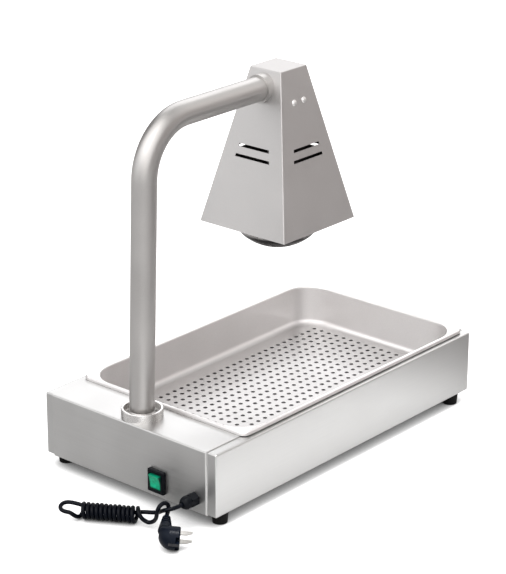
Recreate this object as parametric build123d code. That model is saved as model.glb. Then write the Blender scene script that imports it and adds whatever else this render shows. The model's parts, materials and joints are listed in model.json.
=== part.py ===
from build123d import *
import math
import os

# Fry warmer: a long sheet-steel base with a perforated food pan, and one heat lamp on a bent neck.
# Millimetres, +Z up, floor at z = 0, the control panel faces -Y.

# Casing, folded from sheet
CASE_WIDTH = 340.0
CASE_LENGTH = 612.0
CASE_HEIGHT = 100.0
SHEET = 1.2
FOLD_RADIUS = 2.4
SIDE_FLANGE = 16.0
BOTTOM_FLANGE = 30.0
PANEL_RETURN = 16.0
FRONT_STEP = 3.0
DECK_LIP = 10.0
SEAM = 0.4
LAP = 10.0
PLATE_FIT = 0.5
BULKHEAD_FOOT = 14.0

# Feet and their screws
FOOT_HEIGHT = 18.0
FOOT_DIAMETER = 25.0
FOOT_TAPER = 1.5
FOOT_INSET_X = 15.0
FOOT_INSET_Y = 28.0
FOOT_RECESS_DEPTH = 9.0
FOOT_RECESS_DIAMETER = 13.0
FOOT_SCREW_DIAMETER = 5.0
FOOT_SCREW_HEAD = 9.0
FOOT_SCREW_HEAD_HEIGHT = 3.6
FOOT_NUT_FLATS = 8.0
FOOT_NUT_HEIGHT = 4.0
SCREW_END = 2.0
HOLE_CLEARANCE = 0.2

# Food pan; the ledges round it leave a pan of 530 by 325
PAN_DEPTH = 65.0
PAN_SHEET = 1.0
PAN_SETBACK = 73.0
REAR_LEDGE = 9.0
SIDE_LEDGE = 7.5
PAN_DRAFT = 4.0
PAN_CORNER = 46.0
PAN_FLOOR_RADIUS = 10.5
RIM_WIDTH = 6.0
RIM_LIP = 5.2
RIM_CORNER = 12.0
RIM_ROUND = 2.6
PAN_REST = 0.3
WELL_CLEARANCE = 1.0
HOLE_DIAMETER = 6.8
HOLE_PITCH = 15.6
HOLE_BORDER_SIDE = 20.0
HOLE_BORDER_END = 5.0

# Bent neck and its fixing to the deck
POST_SETBACK = 33.0
TUBE_DIAMETER = 37.0
TUBE_WALL = 1.5
TUBE_BEND = 84.0
POST_UPRIGHT = 30.0
POST_LEAN = 14.6
POST_LEAN_BEND = 500.0
ARM_HEIGHT = 555.0
ARM_REACH = 302.5
TUBE_FIT = 0.1
TUBE_INSIDE_SHADE = 12.0
SHOULDER_DIAMETER = 51.0
SHOULDER_HEIGHT = 7.0
SHOULDER_LIP = 0.5
COLLAR_DIAMETER = 62.0
COLLAR_HEIGHT = 13.5
COLLAR_WALL = 4.0
COLLAR_FLOOR = 3.0
COLLAR_ROUND = 1.2
BACKING_WIDTH = 90.0
BACKING_DEPTH = 58.0
BACKING_SHEET = 3.0
NECK_NUT_FLATS = 50.0
NECK_NUT_HEIGHT = 8.0
TUBE_BELOW_NUT = 6.0
FERRULE_DIAMETER = 43.0
FERRULE_LENGTH = 11.0
LOCK_RING_DIAMETER = 46.0
LOCK_RING_LENGTH = 7.0

# Lamp shade
SHADE_TOP = 59.0
SHADE_BOTTOM = 166.0
SHADE_HEIGHT = 240.0
SHADE_SHEET = 1.0
SHADE_RISE = 27.0
SHADE_EDGE = 1.6
SLOT_HEIGHT = 4.6
SLOT_MARGIN = 26.0
SLOT_DROP = 115.6
SLOT_PITCH = 15.6
SLOT_COUNT = 2
RIVET_DROP = 48.0
RIVET_SPACING = 22.0
RIVET_HEAD = 10.0
RIVET_DOME = 3.0
RIVET_SHANK = 4.0
RIVET_TAIL = 6.0
RIVET_TAIL_HEIGHT = 1.5

# Reflector lamp, its holder and bracket
LAMP_DIAMETER = 125.0
LAMP_LENGTH = 183.0
LAMP_PROUD = 41.3
LAMP_FACE_RADIUS = 82.0
LAMP_FACE_WIDTH = 106.0
LAMP_BELT_LOW = 33.0
LAMP_BELT_HIGH = 45.0
LAMP_NECK_DIAMETER = 44.0
LAMP_NECK_LOW = 128.0
GLASS = 1.2
CAP_DIAMETER = 26.0
CAP_LENGTH = 27.0
CAP_CONTACT = 9.0
CAP_CONTACT_HEIGHT = 3.0
CAP_FIT = 0.3
HOLDER_DIAMETER = 46.0
HOLDER_SHOULDER_DIAMETER = 36.0
HOLDER_CEILING = 30.0
HOLDER_GRIP = 24.0
BRACKET_SHEET = 1.5
BRACKET_WIDTH = 36.0
BRACKET_EAR = 10.0
NIPPLE_DIAMETER = 10.0
NIPPLE_BORE = 7.4
NIPPLE_DEPTH = 12.0
NIPPLE_NUT_FLATS = 14.0
NIPPLE_NUT_HEIGHT = 4.0
NIPPLE_PROUD = 3.0

# Rocker switch in the front panel
SWITCH_INSET = 109.6
SWITCH_RISE = 26.5
SWITCH_WIDTH = 31.0
SWITCH_TALL = 35.5
BEZEL_PROUD = 6.0
BEZEL_ROUND = 1.5
SWITCH_PROUD = 10.0
SWITCH_BODY_WIDTH = 25.0
SWITCH_BODY_TALL = 28.0
SWITCH_BODY_DEPTH = 28.0
SWITCH_CUTOUT_FIT = 0.2
ROCKER_WIDTH = 21.6
ROCKER_TALL = 23.0
ROCKER_DISH = 1.5
ROCKER_BACK = 5.0
ROCKER_TILT = 10.0
ROCKER_SIDE_GAP = 0.5
ROCKER_END_GAP = 1.3
PIVOT_SETOUT = 1.0
PIVOT_DIAMETER = 3.6
PIVOT_REACH = 1.6
PIVOT_CLEARANCE = 0.05
TAG_WIDTH = 6.3
TAG_SHEET = 0.8
TAG_LENGTH = 8.0
TAG_OFFSET_X = 6.0
TAG_OFFSET_Z = 7.0

# Cable gland
GLAND_INSET = 38.5
GLAND_RISE = 21.0
GLAND_FLATS = 19.0
GLAND_FLANGE = 5.0
GLAND_THREAD = 15.2
GLAND_THREAD_LENGTH = 10.0
GLAND_HEX_LENGTH = 9.0
GLAND_DOME_LENGTH = 12.5
GLAND_MOUTH_DIAMETER = 10.0
GLAND_STEM_LENGTH = 8.0
GLAND_STEM_DIAMETER = 12.0
LOCK_NUT_FLATS = 20.0
LOCK_NUT_HEIGHT = 5.0
GLAND_FIT = 0.15

# Supply cord, coiled in a hank before the front panel, and its plug
# Places of the cord are measured from the floor below the gland's face
CORD_DIAMETER = 6.2
CORD_INSIDE = 24.0
HANK_DIAMETER = 26.0
HANK_END_ROUND = 3.0
HANK_LEFT = (-130.4, -94.1, 13.2)
HANK_RIGHT = (-56.5, -50.4, 13.2)
EYE_LENGTH = 36.5
EYE_WIDTH = 19.0
EYE_LIFT = 2.0
LEAD_SIDE = -4.4
LEAD_LIFT = 3.2
TAIL_SIDE = 5.0
TAIL_LIFT = -8.6
HANK_RUN = 14.0
LEAD_POINTS = [(-34.5, -37.5, 20.0), (-23.5, -44.5, 28.0), (-14.0, -50.0, 34.4)]
LEAD_POINTS += [(-6.8, -48.8, 37.6), (-1.4, -42.0, 38.8), (0.0, -34.5, 39.0)]
TAIL_POINTS = [(-26.9, -49.5, 20.0), (-21.0, -55.5, 28.5), (-14.5, -55.0, 43.5), (-10.0, -40.0, 42.0)]
PLUG_RUN = 14.0
PLUG_NECK = (-4.5, -54.0, 27.2)
PLUG_HEADING = -51.0
PLUG_DIP = 11.0
PLUG_ROLL = 5.5
PLUG_REACH = 43.5
PLUG_FACE = 21.7
PLUG_RADIUS = 16.8
PLUG_EDGE = 2.5
DOME_LOW = 6.5
DOME_SHAPE = [(-2.0, -3.0, 0.84), (-8.5, -8.0, 0.45)]
DOME_EDGE = 3.0
RELIEF_LENGTH = 30.0
RELIEF_END_RADIUS = 6.0
RELIEF_ROOT_RADIUS = 10.5
RELIEF_GROOVES = (6.0, 11.0, 16.0)
RELIEF_GROOVE_WIDTH = 2.0
RELIEF_GROOVE_DEPTH = 1.2
BLADE_SPACING = 15.0
BLADE_SETBACK = 3.5
BLADE_LENGTH = 17.0
BLADE_WIDTH = 8.0
BLADE_TIP_WIDTH = 3.5
BLADE_SHEET = 2.0
BLADE_WELL = 8.0
BLADE_WELL_DEPTH = 6.0
EARTH_CLIP_WIDTH = 6.0
EARTH_CLIP_SHEET = 1.0
EARTH_CLIP_LENGTH = 10.0
EARTH_CLIP_SINK = 2.0

# Wiring bay behind the front panel
WIRE_DIAMETER = 2.4
WIRE_SPREAD = 1.75
LAMP_CABLE_DIAMETER = 6.4
LAMP_CABLE_BEND = 20.0
BLOCK_WIDTH = 36.0
BLOCK_DEPTH = 20.0
BLOCK_HEIGHT = 17.0
BLOCK_WAY_PITCH = 9.0
BLOCK_SCREW_SPACING = 27.0
BLOCK_SCREW_DIAMETER = 4.0
BLOCK_SCREW_HEAD = 6.5
BLOCK_SCREW_HEAD_HEIGHT = 2.0
BLOCK_SCREW_SINK = 6.0
STUD_INSET = 58.0
STUD_SETBACK = 48.0
STUD_DIAMETER = 4.0
STUD_HEIGHT = 14.0
STUD_NUT_FLATS = 7.0
STUD_NUT_HEIGHT = 3.2
STUD_TAG_DIAMETER = 9.0

# Places worked out from the sizes above
CASE_HALF = CASE_WIDTH / 2
CASE_FRONT = -(CASE_LENGTH + SWITCH_PROUD) / 2 + SWITCH_PROUD
CASE_REAR = CASE_FRONT + CASE_LENGTH
CASE_BOTTOM = FOOT_HEIGHT
CASE_TOP = CASE_BOTTOM + CASE_HEIGHT
PANEL_HALF = CASE_HALF - SIDE_FLANGE - SEAM
PLATE_TOP = CASE_BOTTOM + 2 * SHEET
PAN_LENGTH = CASE_LENGTH - PAN_SETBACK - REAR_LEDGE
PAN_WIDTH = CASE_WIDTH - 2 * SIDE_LEDGE
PAN_FRONT = CASE_FRONT + PAN_SETBACK
PAN_Y = PAN_FRONT + PAN_LENGTH / 2
RIM_TOP = CASE_TOP + PAN_REST + RIM_LIP
RIM_INSIDE = RIM_WIDTH - PAN_SHEET - WELL_CLEARANCE
WELL_FRONT = PAN_FRONT + RIM_INSIDE
WELL_REAR = PAN_FRONT + PAN_LENGTH - RIM_INSIDE
WELL_HALF = PAN_WIDTH / 2 - RIM_INSIDE
POST_Y = CASE_FRONT + POST_SETBACK
COLLAR_SEAT = CASE_TOP + COLLAR_FLOOR
DECK_UNDER = CASE_TOP - SHEET
NECK_NUT_TOP = DECK_UNDER - BACKING_SHEET
TUBE_BOTTOM = NECK_NUT_TOP - NECK_NUT_HEIGHT - TUBE_BELOW_NUT
SHADE_Y = POST_Y + ARM_REACH
SHADE_TOP_Z = ARM_HEIGHT + SHADE_RISE
SHADE_BOTTOM_Z = SHADE_TOP_Z - SHADE_HEIGHT
SHADE_SLOPE = (SHADE_BOTTOM - SHADE_TOP) / 2 / SHADE_HEIGHT
RIVET_Z = SHADE_TOP_Z - RIVET_DROP
LAMP_Z = SHADE_BOTTOM_Z - LAMP_PROUD
CAP_LOW = LAMP_Z + LAMP_LENGTH - CAP_LENGTH
CAP_TOP = LAMP_Z + LAMP_LENGTH
HOLDER_TOP = CAP_TOP + HOLDER_CEILING
BRACKET_TOP = HOLDER_TOP + BRACKET_SHEET
NIPPLE_TOP = BRACKET_TOP + NIPPLE_NUT_HEIGHT + NIPPLE_PROUD
SWITCH_X = CASE_HALF - SWITCH_INSET
SWITCH_Z = CASE_BOTTOM + SWITCH_RISE
PIVOT_Y = CASE_FRONT - PIVOT_SETOUT
GLAND_X = CASE_HALF - GLAND_INSET
GLAND_Z = CASE_BOTTOM + GLAND_RISE
GLAND_MOUTH = CASE_FRONT - GLAND_FLANGE - GLAND_HEX_LENGTH - GLAND_DOME_LENGTH
CORD_RADIUS = CORD_DIAMETER / 2
BLOCK_TOP = PLATE_TOP + BLOCK_HEIGHT
STUD_X = CASE_HALF - STUD_INSET
STUD_Y = CASE_FRONT + STUD_SETBACK
SIDES = (-1, 1)


def block(x_low, x_high, y_low, y_high, z_low, z_high):
    """Box between two corners."""
    place = Pos((x_low + x_high) / 2, (y_low + y_high) / 2, (z_low + z_high) / 2)
    return place * Box(x_high - x_low, y_high - y_low, z_high - z_low)


def upright(diameter, x, y, z_low, z_high):
    """Round bar along Z."""
    return Pos(x, y, (z_low + z_high) / 2) * Cylinder(diameter / 2, z_high - z_low)


def level(diameter, x, z, y_low, y_high):
    """Round bar along Y."""
    return Pos(x, (y_low + y_high) / 2, z) * Rot(90, 0, 0) * Cylinder(diameter / 2, y_high - y_low)


def hexagon(flats, height):
    """Hexagonal prism on the XY plane."""
    return extrude(RegularPolygon(flats / 2, 6, major_radius=False), height)


def x_edges(part, y, z):
    """Edges along X at a given y and z."""
    found = part.edges().filter_by(Axis.X)
    return [e for e in found if abs(e.center().Y - y) < 0.01 and abs(e.center().Z - z) < 0.01]


def foot_places():
    """Centres of the four feet."""
    half = CASE_HALF - FOOT_INSET_X
    rows = (CASE_FRONT + FOOT_INSET_Y, CASE_REAR - FOOT_INSET_Y)
    return [(side * half, y) for side in SIDES for y in rows]


def foot_screw_holes():
    """Clearance holes for the foot screws through feet, flanges and bottom plate."""
    hole = FOOT_SCREW_DIAMETER + 2 * HOLE_CLEARANCE
    return [upright(hole, x, y, 0, PLATE_TOP + SHEET) for x, y in foot_places()]


def side_panel():
    """Right side panel: a shallow tray, open towards the middle, with its flanges under the cross panels."""
    inside = CASE_HALF - SIDE_FLANGE
    front = CASE_FRONT + FRONT_STEP
    rear = CASE_REAR - SHEET
    low = CASE_BOTTOM + SHEET
    panel = block(CASE_HALF - SHEET, CASE_HALF, front, rear, CASE_BOTTOM, DECK_UNDER)
    panel += block(inside, CASE_HALF, front, rear, DECK_UNDER - SHEET, DECK_UNDER)
    panel += block(inside, CASE_HALF, front, rear, CASE_BOTTOM, low)
    panel += block(inside, CASE_HALF, front, front + SHEET, CASE_BOTTOM, DECK_UNDER)
    panel += block(inside, CASE_HALF, rear - SHEET, rear, CASE_BOTTOM, DECK_UNDER)
    wide_front = CASE_FRONT + PANEL_RETURN + SEAM
    wide_rear = CASE_REAR - PANEL_RETURN - SEAM
    panel += block(CASE_HALF - BOTTOM_FLANGE, CASE_HALF, wide_front, wide_rear, CASE_BOTTOM, low)
    folds = list(panel.faces().sort_by(Axis.X)[-1].edges())
    for y in (front, rear):
        for z in (CASE_BOTTOM, DECK_UNDER):
            folds += x_edges(panel, y, z)
    panel = fillet(folds, FOLD_RADIUS)
    panel += block(inside - LAP, inside, front, front + SHEET, low + SEAM, DECK_UNDER)
    panel += block(inside - LAP, inside, rear - SHEET, rear, low + SEAM, DECK_UNDER)
    deck_end = WELL_FRONT - SHEET - SEAM
    panel += block(inside - LAP, inside, front, deck_end, DECK_UNDER - SHEET, DECK_UNDER)
    panel += block(inside - LAP, inside, WELL_REAR, rear, DECK_UNDER - SHEET, DECK_UNDER)
    panel -= block(0, WELL_HALF, WELL_FRONT, WELL_REAR, DECK_UNDER - 2 * SHEET, CASE_TOP)
    return panel - foot_screw_holes()


def front_panel():
    """Control face, its folded side edges and the deck in one sheet, cut out for switch, gland and neck."""
    low = CASE_BOTTOM + SHEET
    panel = block(-PANEL_HALF, PANEL_HALF, CASE_FRONT, CASE_FRONT + SHEET, CASE_BOTTOM, CASE_TOP)
    panel += block(-PANEL_HALF, PANEL_HALF, CASE_FRONT, WELL_FRONT, DECK_UNDER, CASE_TOP)
    panel += block(-PANEL_HALF, PANEL_HALF, WELL_FRONT - SHEET, WELL_FRONT, CASE_TOP - DECK_LIP, CASE_TOP)
    panel += block(-PANEL_HALF, PANEL_HALF, CASE_FRONT, CASE_FRONT + PANEL_RETURN, CASE_BOTTOM, low)
    edge = PANEL_HALF - SHEET
    back = CASE_FRONT + FRONT_STEP
    panel += block(-PANEL_HALF, -edge, CASE_FRONT, back, CASE_BOTTOM, CASE_TOP)
    panel += block(edge, PANEL_HALF, CASE_FRONT, back, CASE_BOTTOM, CASE_TOP)
    panel = fillet(panel.faces().sort_by(Axis.Y)[0].edges(), FOLD_RADIUS)
    fit = 2 * SWITCH_CUTOUT_FIT
    cutout = Box(SWITCH_BODY_WIDTH + fit, 4 * SHEET, SWITCH_BODY_TALL + fit)
    panel -= Pos(SWITCH_X, CASE_FRONT, SWITCH_Z) * cutout
    thread_hole = GLAND_THREAD + 2 * HOLE_CLEARANCE
    panel -= level(thread_hole, GLAND_X, GLAND_Z, CASE_FRONT - SHEET, CASE_FRONT + 2 * SHEET)
    return panel - upright(TUBE_DIAMETER + 2 * TUBE_FIT, 0, POST_Y, DECK_UNDER - SHEET, CASE_TOP + SHEET)


def rear_panel():
    """Rear wall with the narrow ledge that carries the rear rim of the pan."""
    low = CASE_BOTTOM + SHEET
    panel = block(-PANEL_HALF, PANEL_HALF, CASE_REAR - SHEET, CASE_REAR, CASE_BOTTOM, CASE_TOP)
    panel += block(-PANEL_HALF, PANEL_HALF, WELL_REAR, CASE_REAR, DECK_UNDER, CASE_TOP)
    panel += block(-PANEL_HALF, PANEL_HALF, CASE_REAR - PANEL_RETURN, CASE_REAR, CASE_BOTTOM, low)
    folds = x_edges(panel, CASE_REAR, CASE_TOP) + x_edges(panel, CASE_REAR, CASE_BOTTOM)
    return fillet(folds, FOLD_RADIUS)


def bottom_plate():
    """Floor of the casing, on the bottom flanges of all four panels."""
    half = CASE_HALF - SHEET - PLATE_FIT
    front = CASE_FRONT + FRONT_STEP + SHEET + PLATE_FIT
    rear = CASE_REAR - 2 * SHEET - PLATE_FIT
    plate = block(-half, half, front, rear, PLATE_TOP - SHEET, PLATE_TOP)
    plate -= foot_screw_holes()
    plate -= [upright(BLOCK_SCREW_DIAMETER, x, POST_Y, 0, CASE_TOP) for x in block_screw_places()]
    return plate - upright(STUD_DIAMETER, STUD_X, STUD_Y, 0, CASE_TOP)


def front_bulkhead():
    """Upright sheet between the wiring bay and the pan."""
    half = CASE_HALF - SHEET - PLATE_FIT
    back = WELL_FRONT - SHEET
    sheet = block(-half, half, back - SHEET, back, PLATE_TOP, DECK_UNDER - SHEET - SEAM)
    return sheet + block(-half, half, back - BULKHEAD_FOOT, back, PLATE_TOP, PLATE_TOP + SHEET)


def rubber_feet():
    """Four tapered feet with a recess for the screw head."""
    feet = []
    hole = FOOT_SCREW_DIAMETER + 2 * HOLE_CLEARANCE
    for x, y in foot_places():
        low_radius = FOOT_DIAMETER / 2 - FOOT_TAPER
        foot = Pos(x, y, FOOT_HEIGHT / 2) * Cone(low_radius, FOOT_DIAMETER / 2, FOOT_HEIGHT)
        foot -= upright(FOOT_RECESS_DIAMETER, x, y, 0, FOOT_RECESS_DEPTH)
        feet.append(foot - upright(hole, x, y, 0, FOOT_HEIGHT))
    return Compound(feet)


def foot_screws():
    """Screws up through the feet, flanges and bottom plate."""
    screws = []
    end = PLATE_TOP + FOOT_NUT_HEIGHT + SCREW_END
    for x, y in foot_places():
        head_low = FOOT_RECESS_DEPTH - FOOT_SCREW_HEAD_HEIGHT
        head = upright(FOOT_SCREW_HEAD, x, y, head_low, FOOT_RECESS_DEPTH)
        screws.append(head + upright(FOOT_SCREW_DIAMETER, x, y, FOOT_RECESS_DEPTH, end))
    return Compound(screws)


def foot_nuts():
    """Nuts of the foot screws, on the bottom plate."""
    bore = FOOT_SCREW_DIAMETER + 2 * HOLE_CLEARANCE
    nut = hexagon(FOOT_NUT_FLATS, FOOT_NUT_HEIGHT) - Cylinder(bore / 2, 4 * FOOT_NUT_HEIGHT)
    return Compound([Pos(x, y, PLATE_TOP) * nut for x, y in foot_places()])


def pan_tub(grow, depth):
    """Drafted tub with a rounded floor edge, grown outwards by a sheet for the outside."""
    width = PAN_WIDTH - 2 * RIM_WIDTH + 2 * grow
    length = PAN_LENGTH - 2 * RIM_WIDTH + 2 * grow
    mouth = Pos(0, PAN_Y, RIM_TOP) * RectangleRounded(width, length, PAN_CORNER + grow)
    tub = extrude(mouth, amount=-depth, taper=PAN_DRAFT)
    return fillet(tub.edges().group_by(Axis.Z)[0], PAN_FLOOR_RADIUS + grow)


def pan_holes():
    """Square lattice of drain holes over the flat of the pan floor."""
    lost = RIM_WIDTH + PAN_DEPTH * math.tan(math.radians(PAN_DRAFT)) + PAN_FLOOR_RADIUS
    room_x = PAN_WIDTH - 2 * (lost + HOLE_BORDER_SIDE) - HOLE_DIAMETER
    room_y = PAN_LENGTH - 2 * (lost + HOLE_BORDER_END) - HOLE_DIAMETER
    columns = int(room_x / HOLE_PITCH) + 1
    rows = int(room_y / HOLE_PITCH) + 1
    lattice = GridLocations(HOLE_PITCH, HOLE_PITCH, columns, rows)
    floor = Pos(0, PAN_Y, RIM_TOP - PAN_DEPTH)
    return [floor * spot * Cylinder(HOLE_DIAMETER / 2, 4 * PAN_SHEET) for spot in lattice]


def food_pan():
    """Drawn pan: tub, flat rim and the turned-down edge that it stands on."""
    outline = RectangleRounded(PAN_WIDTH, PAN_LENGTH, RIM_CORNER)
    inset = 2 * PAN_SHEET
    core = RectangleRounded(PAN_WIDTH - inset, PAN_LENGTH - inset, RIM_CORNER - PAN_SHEET)
    pan = pan_tub(PAN_SHEET, PAN_DEPTH + PAN_SHEET)
    pan += Pos(0, PAN_Y, RIM_TOP - PAN_SHEET) * extrude(outline, PAN_SHEET)
    pan += Pos(0, PAN_Y, RIM_TOP - RIM_LIP) * extrude(outline - core, RIM_LIP)
    pan -= pan_tub(0, PAN_DEPTH)
    bead = min(RIM_ROUND, 0.45 * RIM_WIDTH)
    under = RIM_TOP - PAN_SHEET
    hollow = [e for e in pan.edges() if abs(e.center().Z - under) < 0.01 and abs((e @ 0).Z - under) < 0.01]
    pan = fillet(hollow, max(bead - PAN_SHEET, 0.2 * PAN_SHEET))
    pan = fillet(pan.edges().group_by(Axis.Z)[-1], bead)
    return pan - pan_holes()


def post_corners():
    """Where the post leaves the upright, and where its line meets the arm's."""
    return [(0, POST_Y, CASE_TOP + POST_UPRIGHT), (0, POST_Y + POST_LEAN, ARM_HEIGHT)]


def tube_path():
    """Centre line of the neck, from under the deck to inside the shade."""
    end_y = SHADE_Y - shade_half(ARM_HEIGHT) + TUBE_INSIDE_SHADE
    points = [(0, POST_Y, TUBE_BOTTOM), *post_corners(), (0, end_y, ARM_HEIGHT)]
    return FilletPolyline(*points, radius=[POST_LEAN_BEND, TUBE_BEND])


def swept(diameter, path):
    """Round bar along a path."""
    return sweep(Plane(origin=path @ 0, z_dir=path % 0) * Circle(diameter / 2), path=path)


def neck_tube():
    """Bent tube with the flared foot that stands in the collar."""
    path = tube_path()
    tube = swept(TUBE_DIAMETER, path)
    flare = Cone(SHOULDER_DIAMETER / 2, TUBE_DIAMETER / 2 + SHOULDER_LIP, SHOULDER_HEIGHT)
    tube += Pos(0, POST_Y, COLLAR_SEAT + SHOULDER_HEIGHT / 2) * flare
    return tube - swept(TUBE_DIAMETER - 2 * TUBE_WALL, path)


def neck_collar():
    """Open ring on the deck round the foot of the neck."""
    top = CASE_TOP + COLLAR_HEIGHT
    ring = upright(COLLAR_DIAMETER, 0, POST_Y, CASE_TOP, top)
    ring -= upright(COLLAR_DIAMETER - 2 * COLLAR_WALL, 0, POST_Y, COLLAR_SEAT, top)
    ring -= upright(TUBE_DIAMETER + 2 * TUBE_FIT, 0, POST_Y, CASE_TOP, COLLAR_SEAT)
    return fillet(ring.edges().group_by(Axis.Z)[-1], min(COLLAR_ROUND, 0.4 * COLLAR_WALL))


def neck_backing_plate():
    """Stiff plate under the deck round the neck."""
    low = DECK_UNDER - BACKING_SHEET
    half_x = BACKING_WIDTH / 2
    half_y = BACKING_DEPTH / 2
    plate = block(-half_x, half_x, POST_Y - half_y, POST_Y + half_y, low, DECK_UNDER)
    return plate - upright(TUBE_DIAMETER + 2 * TUBE_FIT, 0, POST_Y, low, DECK_UNDER)


def neck_lock_nut():
    """Large nut on the lower end of the neck."""
    nut = Pos(0, POST_Y, NECK_NUT_TOP - NECK_NUT_HEIGHT) * hexagon(NECK_NUT_FLATS, NECK_NUT_HEIGHT)
    return nut - upright(TUBE_DIAMETER + 2 * TUBE_FIT, 0, POST_Y, TUBE_BOTTOM, NECK_NUT_TOP)


def shade_half(z):
    """Half of the shade's outside width at a height."""
    return SHADE_TOP / 2 + SHADE_SLOPE * (SHADE_TOP_Z - z)


def pyramid(shrink, z_low, z_high):
    """Solid frustum that follows the shade, smaller by a wall on every side."""
    squares = []
    for z in (z_low, z_high):
        side = 2 * (shade_half(z) - shrink)
        squares.append(Pos(0, SHADE_Y, z) * Rectangle(side, side))
    return loft(squares)


def shade_slot(drop):
    """Flat slot whose ends follow the slant of the shade, long enough to cut two opposite faces."""
    high = SHADE_TOP_Z - drop + SLOT_HEIGHT / 2
    low = high - SLOT_HEIGHT
    wide = shade_half(low) - SLOT_MARGIN
    narrow = shade_half(high) - SLOT_MARGIN
    outline = Polygon((-wide, low), (wide, low), (narrow, high), (-narrow, high), align=None)
    return extrude(Plane.XZ * outline, SHADE_BOTTOM, both=True)


def lamp_shade():
    """Closed-top pyramid of sheet with vent slots, rivet holes and the hole for the arm."""
    outer = pyramid(0, SHADE_BOTTOM_Z, SHADE_TOP_Z)
    slanted = [e for e in outer.edges() if abs((e @ 1).Z - (e @ 0).Z) > SHADE_HEIGHT / 2]
    outer = fillet(slanted + list(outer.edges().group_by(Axis.Z)[-1]), min(SHADE_EDGE, 1.8 * SHADE_SHEET))
    shade = outer - pyramid(SHADE_SHEET, SHADE_BOTTOM_Z, SHADE_TOP_Z - SHADE_SHEET)
    for number in range(SLOT_COUNT):
        slot = shade_slot(SLOT_DROP + number * SLOT_PITCH)
        shade -= Pos(0, SHADE_Y, 0) * slot
        shade -= Pos(0, SHADE_Y, 0) * Rot(0, 0, 90) * slot
    shade -= level(TUBE_DIAMETER + 2 * TUBE_FIT, 0, ARM_HEIGHT, POST_Y, SHADE_Y)
    return shade - rivet_holes()


def rivet_planes():
    """Planes on the outside of the two side faces, facing outwards, at the rivets."""
    planes = []
    for side in SIDES:
        for step in SIDES:
            spot = (side * shade_half(RIVET_Z), SHADE_Y + step * RIVET_SPACING / 2, RIVET_Z)
            planes.append(Plane(origin=spot, x_dir=(0, 1, 0), z_dir=(side, 0, SHADE_SLOPE)))
    return planes


def rivet_holes():
    """Holes for the rivet shanks through shade and bracket."""
    radius = RIVET_SHANK / 2 + HOLE_CLEARANCE / 2
    return [plane * Cylinder(radius, 6 * (SHADE_SHEET + BRACKET_SHEET)) for plane in rivet_planes()]


def shade_rivets():
    """Domed rivets that hold the lamp bracket in the shade."""
    ball = (RIVET_HEAD ** 2 / 4 + RIVET_DOME ** 2) / (2 * RIVET_DOME)
    grip = (SHADE_SHEET + BRACKET_SHEET) * math.cos(math.atan(SHADE_SLOPE))
    head = Pos(0, 0, RIVET_DOME - ball) * Sphere(ball)
    head &= Pos(0, 0, RIVET_DOME / 2) * Box(2 * RIVET_HEAD, 2 * RIVET_HEAD, RIVET_DOME)
    rivet = head + upright(RIVET_SHANK, 0, 0, -grip, 0)
    rivet += upright(RIVET_TAIL, 0, 0, -grip - RIVET_TAIL_HEIGHT, -grip)
    return Compound([plane * rivet for plane in rivet_planes()])


def arm_ferrule():
    """Ring round the arm, cut to the slant of the shade."""
    face = SHADE_Y - shade_half(ARM_HEIGHT)
    ring = level(FERRULE_DIAMETER, 0, ARM_HEIGHT, face - FERRULE_LENGTH, SHADE_Y)
    ring -= level(TUBE_DIAMETER + 2 * TUBE_FIT, 0, ARM_HEIGHT, face - FERRULE_LENGTH, SHADE_Y)
    return ring - pyramid(0, SHADE_BOTTOM_Z, SHADE_TOP_Z)


def arm_lock_ring():
    """Ring inside the shade that clamps it against the ferrule."""
    face = SHADE_Y - shade_half(ARM_HEIGHT)
    ring = level(LOCK_RING_DIAMETER, 0, ARM_HEIGHT, face - FERRULE_LENGTH, face + LOCK_RING_LENGTH)
    ring -= level(TUBE_DIAMETER + 2 * TUBE_FIT, 0, ARM_HEIGHT, face - FERRULE_LENGTH, SHADE_Y)
    return ring & pyramid(SHADE_SHEET, SHADE_BOTTOM_Z, SHADE_TOP_Z)


def lamp_bracket():
    """Strap across the shade with an ear along each side face."""
    ear_top = RIVET_Z + BRACKET_EAR
    right = []
    right.append((shade_half(HOLDER_TOP) - SHADE_SHEET, HOLDER_TOP))
    right.append((shade_half(ear_top) - SHADE_SHEET, ear_top))
    right.append((shade_half(ear_top) - SHADE_SHEET - BRACKET_SHEET, ear_top))
    right.append((shade_half(BRACKET_TOP) - SHADE_SHEET - BRACKET_SHEET, BRACKET_TOP))
    left = [(-x, z) for x, z in reversed(right)]
    strap = extrude(Plane.XZ * Polygon(*right, *left, align=None), BRACKET_WIDTH / 2, both=True)
    strap = Pos(0, SHADE_Y, 0) * strap
    strap -= upright(NIPPLE_DIAMETER + 2 * HOLE_CLEARANCE, 0, SHADE_Y, CAP_TOP, NIPPLE_TOP)
    return strap - rivet_holes()


def lamp_holder():
    """Ceramic lamp holder under the bracket."""
    step = CAP_TOP + HOLDER_CEILING / 3
    body = upright(HOLDER_DIAMETER, 0, SHADE_Y, CAP_TOP - HOLDER_GRIP, step)
    body += upright(HOLDER_SHOULDER_DIAMETER, 0, SHADE_Y, step, HOLDER_TOP)
    body -= upright(CAP_DIAMETER + 2 * CAP_FIT, 0, SHADE_Y, CAP_TOP - HOLDER_GRIP, CAP_TOP + CAP_FIT)
    nipple_low = HOLDER_TOP - NIPPLE_DEPTH
    return body - upright(NIPPLE_DIAMETER + 2 * HOLE_CLEARANCE, 0, SHADE_Y, nipple_low, HOLDER_TOP)


def holder_nipple():
    """Hollow threaded stem that hangs the holder on the bracket."""
    low = HOLDER_TOP - NIPPLE_DEPTH
    stem = upright(NIPPLE_DIAMETER, 0, SHADE_Y, low, NIPPLE_TOP)
    return stem - upright(NIPPLE_BORE, 0, SHADE_Y, low, NIPPLE_TOP)


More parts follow.
